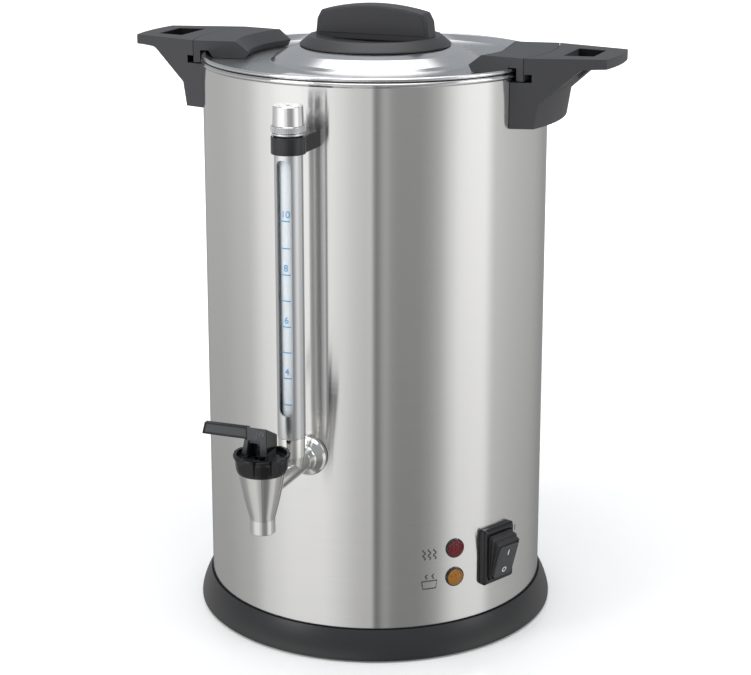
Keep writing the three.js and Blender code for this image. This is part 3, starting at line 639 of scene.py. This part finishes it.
def nut():
    """The fluted bonnet nut, and a matte black disc of painted shade over the recess that its stem comes up
    through.
    """
    axis = moved(y=TAP_Y)
    profile = rounded([(3.8, 179.4), (14, 179.4), (14, 171.9), (17, 171.9, 0.9), (18, 174.8, 2),
                       (18.6, 181.2, 0.6), (19.8, 183.2, 0.6), (19.8, NUT_TOP, 0.5),
                       (17.5, NUT_TOP, 0.4), (17, 181, 0.3), (11.9, 180.9, 0.2), (11.9, 179.9),
                       (3.8, 179.9)], 0, 4)
    body = lathe("bonnet", profile, NUT, 180, axis)
    wedge = [(24, -8.0, 187), (24, 8.0, 187), (17.6, 0, 187),
             (24, -7, 170), (24, 7, 170), (17.2, 0, 170)]
    sides = [(0, 1, 2), (3, 5, 4), (0, 3, 4, 1), (1, 4, 5, 2), (2, 5, 3, 0)]
    flute_count, first_flute = 9, -83.2
    flutes = []
    for i in range(flute_count):
        turn = axis @ Matrix.Rotation(math.radians(i * 360 / flute_count + first_flute), 4, "Z")
        flutes.append(from_faces("flute", [tuple(turn @ Vector(p)) for p in wedge], sides, NUT))
    combine(body, *flutes)
    stand_in(soften(body, 0.4, 3, 40), "root", "black_plastic", "tap_bonnet_nut")
    # Painted shade: a matte black disc laid over the nut's recess so that it reads dark.
    disc = [(0, 181.05), (13.2, 181.05), (13.2, 180.8), (0, 180.8)]
    shade_disc = lathe("bonnet_shade_disc", disc, RUBBER, 64, axis)
    combine(shade_disc, lathe("stem_hole", [(0, 170), (4.7, 170), (4.7, 190), (0, 190)], RUBBER, 48, axis))
    stand_in(shade_disc, "root", "black_plastic")


def lever():
    """A yoke over the stem and a thin framed blade. Heights and depths follow the CAD lever."""
    depth = [(-7, 185.2, 0.3), (-3, 185.2), (-3, 181.3), (9, 181.3), (9, 186), (11, 188),
             (11, 196, 1.5), (-6, 204.9), (-7, 204.9)]
    along = Matrix(((0, 0, 1, 0), (1, 0, 0, TAP_Y), (0, 1, 0, 0), (0, 0, 0, 1)))
    yoke = prism("lever_yoke", rounded(depth, 0, 4), -13, 7, LEVER, along)
    front = [(-12.8, 181), (6.7, 181), (6.5, 205), (-7.4, 205), (-7.4, 196), (-9.6, 196)]
    combine(yoke, prism("front", front, 195, 220, LEVER, FRONT), operation="INTERSECT")
    arch = rounded([(-9.2, 180), (2, 180), (2, 196, 1), (-6.8, 196, 1)], 0, 3)
    room = [(-10, 180), (2, 180), (2, 193.4), (-7.6, 193.4)]
    combine(yoke, prism("arch", arch, 215.1, 220, BLACK, FRONT),
            prism("room", room, 203, 215.3, BLACK, FRONT),
            lathe("stem_room", [(0, 179), (5, 179), (5, 192), (0, 192)], BLACK, 48, moved(y=TAP_Y)))
    stand_in(soften(yoke, 0.35, 2, 30), "lever", "black_plastic", "tap_lever")
    blade = [(-42.3, 195.8), (-7.2, 196), (-7.2, 204.6), (-40.2, 204.3)]
    frame_piece = prism("lever_blade", rounded(blade, 0.5, 3), 212.6, 216, NUT, FRONT)
    panel = rounded([(-40.8, 197), (-9, 197.2), (-9, 203.5), (-39, 203.2)], 0.4, 3)
    combine(frame_piece, prism("recess", panel, 215.4, 217, BLACK, FRONT))
    stand_in(soften(frame_piece, 0.25, 2, 30), "lever", "black_plastic")
    stand_in(prism("lever_panel", panel, 215.2, 215.55, LEVER, FRONT), "lever", "black_plastic")
    # Painted shade: a thin plate of the darkest glossy plastic on the yoke's right end stands in for that
    # face in shade.
    face = [(-6.4, 187), (8.4, 187), (10.4, 189), (10.4, 195.6), (-5.6, 203.8), (-6.4, 203.8)]
    shade_cheek = prism("lever_shade_cheek", face, 6.4, 6.85, NUT, along)
    stand_in(soften(shade_cheek, 0.2, 2, 30), "lever", "black_plastic")
    # Painted highlight: the raised ribs get a lighter grey than the rest of the lever.
    ribs = [(-0.8, 197.2), (0.5, 204), (2.0, 199), (3.2, 204), (4.6, 199), (5.6, 204)]
    reach = 0.25
    for i, ((x0, z0), (x1, z1)) in enumerate(zip(ribs, ribs[1:])):
        bar = [(x0 - reach, z0), (x0 + reach, z0), (x1 + reach, z1), (x1 - reach, z1)]
        stand_in(prism(f"lever_rib_{i}", bar, 216.8, 217.3, RIB_HIGHLIGHT, FRONT), "lever", "black_plastic")


def spring():
    """The valve spring. Its top stays under the bonnet."""
    points, faces = [], []
    turns, sides, steps = 5, 8, 160
    coil_r, wire_r, coil_foot, coil_height = 4.6, 0.5, 159.2, 17.4
    for i in range(steps + 1):
        turn = 2 * math.pi * turns * i / steps
        out = Vector((math.cos(turn), math.sin(turn), 0))
        centre = out * coil_r + Vector((0, TAP_Y, coil_foot + coil_height * i / steps))
        for k in range(sides):
            around = 2 * math.pi * k / sides
            rise = Vector((0, 0, wire_r * math.sin(around)))
            points.append(tuple(centre + out * wire_r * math.cos(around) + rise))
    for i in range(steps):
        here, above = i * sides, (i + 1) * sides
        for k in range(sides):
            ahead = (k + 1) % sides
            faces.append([here + k, here + ahead, above + ahead, above + k])
    faces += [list(range(sides))[::-1], [steps * sides + k for k in range(sides)]]
    coil = from_faces("valve_coil", points, faces, FASTENER, 60)
    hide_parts("valve_spring")
    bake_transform(coil)


def label():
    """A thin blank label on the lid's flat ring."""
    points, faces = [], []
    inner, outer, first, last = 94.0, 106.0, -19.0, 12.0
    steps = 24
    for r in (inner, outer):
        for i in range(steps + 1):
            a = math.radians(first + (last - first) * i / steps)
            points.append((r * math.sin(a), -r * math.cos(a), LID_Z + 0.14))
    for i in range(steps):
        faces.append([i, i + 1, steps + 2 + i, steps + 1 + i])
    stand_in(from_faces("lid_label", points, faces, LABEL), "lid", "polished_metal")


tank()
base()
lid()
knob()
for end in ("right", "left"):
    handle(end)
    ear(end)
lamp("heating", HEATING_Z, RED, "red_lens")
lamp("keep_warm", KEEP_WARM_Z, AMBER, "amber_lens")
switch()
gauge()
prints()
tap()
nut()
lever()
spring()
label()

# ---- Finishes of the CAD nodes that stay ----
FINISHES = {
    PLAIN_STEEL: ("bottom_plate", "tank_floor", "heating_element"),
    ALUMINIUM: ("heater_plate",),
    FASTENER: ("_screw", "screw_", "lever_pin", "tap_tank_nut"),
    RUBBER: ("foot_", "knob_washer"),
    SILICONE: ("lid_gasket", "gauge_seal", "tap_washer", "tap_diaphragm", "valve_plug"),
    CERAMIC: ("thermostat", "terminal_block"),
    WIRE: ("_lead",),
}
for node_name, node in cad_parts.items():
    finish = next((m for m, keys in FINISHES.items() if any(k in node_name for k in keys)), BLACK)
    node.data.materials.clear()
    node.data.materials.append(finish)


# ---- Floor, surroundings, lights and camera ----
def floor():
    """A pale floor. It glows a little more with distance, which holds its far part white."""
    edge = 30.0
    mesh = bpy.data.meshes.new("floor")
    corners = [(-edge, -edge, 0), (edge, -edge, 0), (edge, edge, 0), (-edge, edge, 0)]
    mesh.from_pydata(corners, [], [(0, 1, 2, 3)])
    finish = bpy.data.materials.new("white_floor")
    finish.use_nodes = True
    n = Nodes(finish.node_tree)
    place = n.add("ShaderNodeTexCoord").outputs["Object"]
    away = n.add("ShaderNodeVectorMath", {0: place}, operation="LENGTH").outputs["Value"]
    tone = n.mix(n.noise((60, 60, 60)), (0.946, 0.946, 0.946, 1), (0.954, 0.954, 0.954, 1))
    shader = n.add("ShaderNodeBsdfPrincipled", {
        "Base Color": tone, "Roughness": 0.16, "Specular IOR Level": 0.3,
        "Emission Color": (1, 1, 1, 1), "Emission Strength": n.remap(away, 0.2, 1.6, 0.08, 0.75)})
    n.add("ShaderNodeOutputMaterial", {"Surface": shader.outputs[0]})
    made = publish("floor", mesh, finish)
    made.visible_glossy = False


# Brightness all round at wall height: degrees from the camera's side, and display grey on the wall.
STEEL_SHARE = 0.70  # how much of a reflection the brushed wall gives back
SURROUND = (
    (-180, 120), (-154, 158), (-120, 168), (-104, 180), (-94, 186), (-89, 197), (-80, 222), (-62, 236),
    (-35, 240), (-28, 229), (-21, 216), (-14, 201), (-6, 192), (-2.0, 200), (-1.0, 112), (1.8, 118),
    (4, 150), (7, 160), (11, 140), (16, 134), (29, 135), (36, 148), (43, 170), (50, 205), (57, 228),
    (78, 236), (86, 194), (104, 180), (132, 164), (154, 136),
)


def linear(grey):
    """A display grey of 0 to 255 as a linear value."""
    c = grey / 255
    return c / 12.92 if c < 0.04045 else ((c + 0.055) / 1.055) ** 2.4


def surroundings():
    world = bpy.data.worlds.new("studio")
    scene.world = world
    world.use_nodes = True
    n = Nodes(world.node_tree)
    way = n.add("ShaderNodeTexCoord").outputs["Generated"]
    a = math.radians(CAMERA_AZ)
    side, toward = [
        n.add("ShaderNodeVectorMath", {0: way, 1: axis}, operation="DOT_PRODUCT").outputs["Value"]
        for axis in ((math.cos(a), math.sin(a), 0), (math.sin(a), -math.cos(a), 0))]
    height = n.add("ShaderNodeSeparateXYZ", {0: way}).outputs[2]
    turn = n.math("ARCTAN2", side, toward)
    place = n.math("ADD", n.math("DIVIDE", turn, 2 * math.pi), 0.5)
    stops = [((deg + 180) / 360, (linear(g) / STEEL_SHARE,) * 3) for deg, g in SURROUND]
    around = n.ramp(place, stops)
    around = n.mix(n.remap(height, -0.2, -0.5, 0.0, 0.42), around, (0.0, 0.0, 0.0, 1))
    above = n.remap(height, 0.02, 0.12, 0.0, 1.0)
    low = n.mix(above, around, (0.38, 0.40, 0.42, 1))
    inside = n.remap(n.math("ABSOLUTE", side), 0.30, 0.52, 1.0, 0.0)
    high = n.mix(inside, (0.30, 0.31, 0.32, 1), (2.3, 2.3, 2.3, 1))
    over = n.remap(height, 0.70, 0.86, 0.0, 1.0)
    colour = n.mix(over, low, high)
    light = n.add("ShaderNodeBackground", {"Color": colour, "Strength": 1.0})
    n.add("ShaderNodeOutputWorld", {"Surface": light.outputs[0]})


def softbox(name, azimuth, elevation, distance, width, height, watts, target_z=0.22):
    """A rectangular lamp that faces the axis, in metres and degrees."""
    a, e = math.radians(azimuth), math.radians(elevation)
    data = bpy.data.lights.new(name, "AREA")
    data.shape, data.size, data.size_y, data.energy = "RECTANGLE", width, height, watts
    lamp_object = bpy.data.objects.new(name, data)
    scene.collection.objects.link(lamp_object)
    target = Vector((0, 0, target_z))
    back = Vector((math.sin(a) * math.cos(e), -math.cos(a) * math.cos(e), math.sin(e)))
    lamp_object.location = target + back * distance
    lamp_object.rotation_mode = "QUATERNION"
    lamp_object.rotation_quaternion = back.to_track_quat("Z", "Y")


def camera():
    data = bpy.data.cameras.new("camera")
    data.sensor_width = SENSOR
    data.lens = FOCAL_WIDTHS * SENSOR
    data.shift_y = SHIFT_UP
    data.clip_start, data.clip_end = 0.05, 100
    made = bpy.data.objects.new("camera", data)
    scene.collection.objects.link(made)
    a = math.radians(CAMERA_AZ)
    made.location = (CAMERA_OUT * math.sin(a), -CAMERA_OUT * math.cos(a), CAMERA_UP)
    made.rotation_euler = (math.pi / 2 - CAMERA_DOWN, 0, a)
    scene.camera = made


floor()
surroundings()
softbox("key", CAMERA_AZ - 60, 35, 2.2, 0.8, 1.2, 14)
softbox("fill", CAMERA_AZ + 70, 30, 2.4, 0.8, 1.2, 9)
camera()
scene.view_settings.view_transform = "Standard"
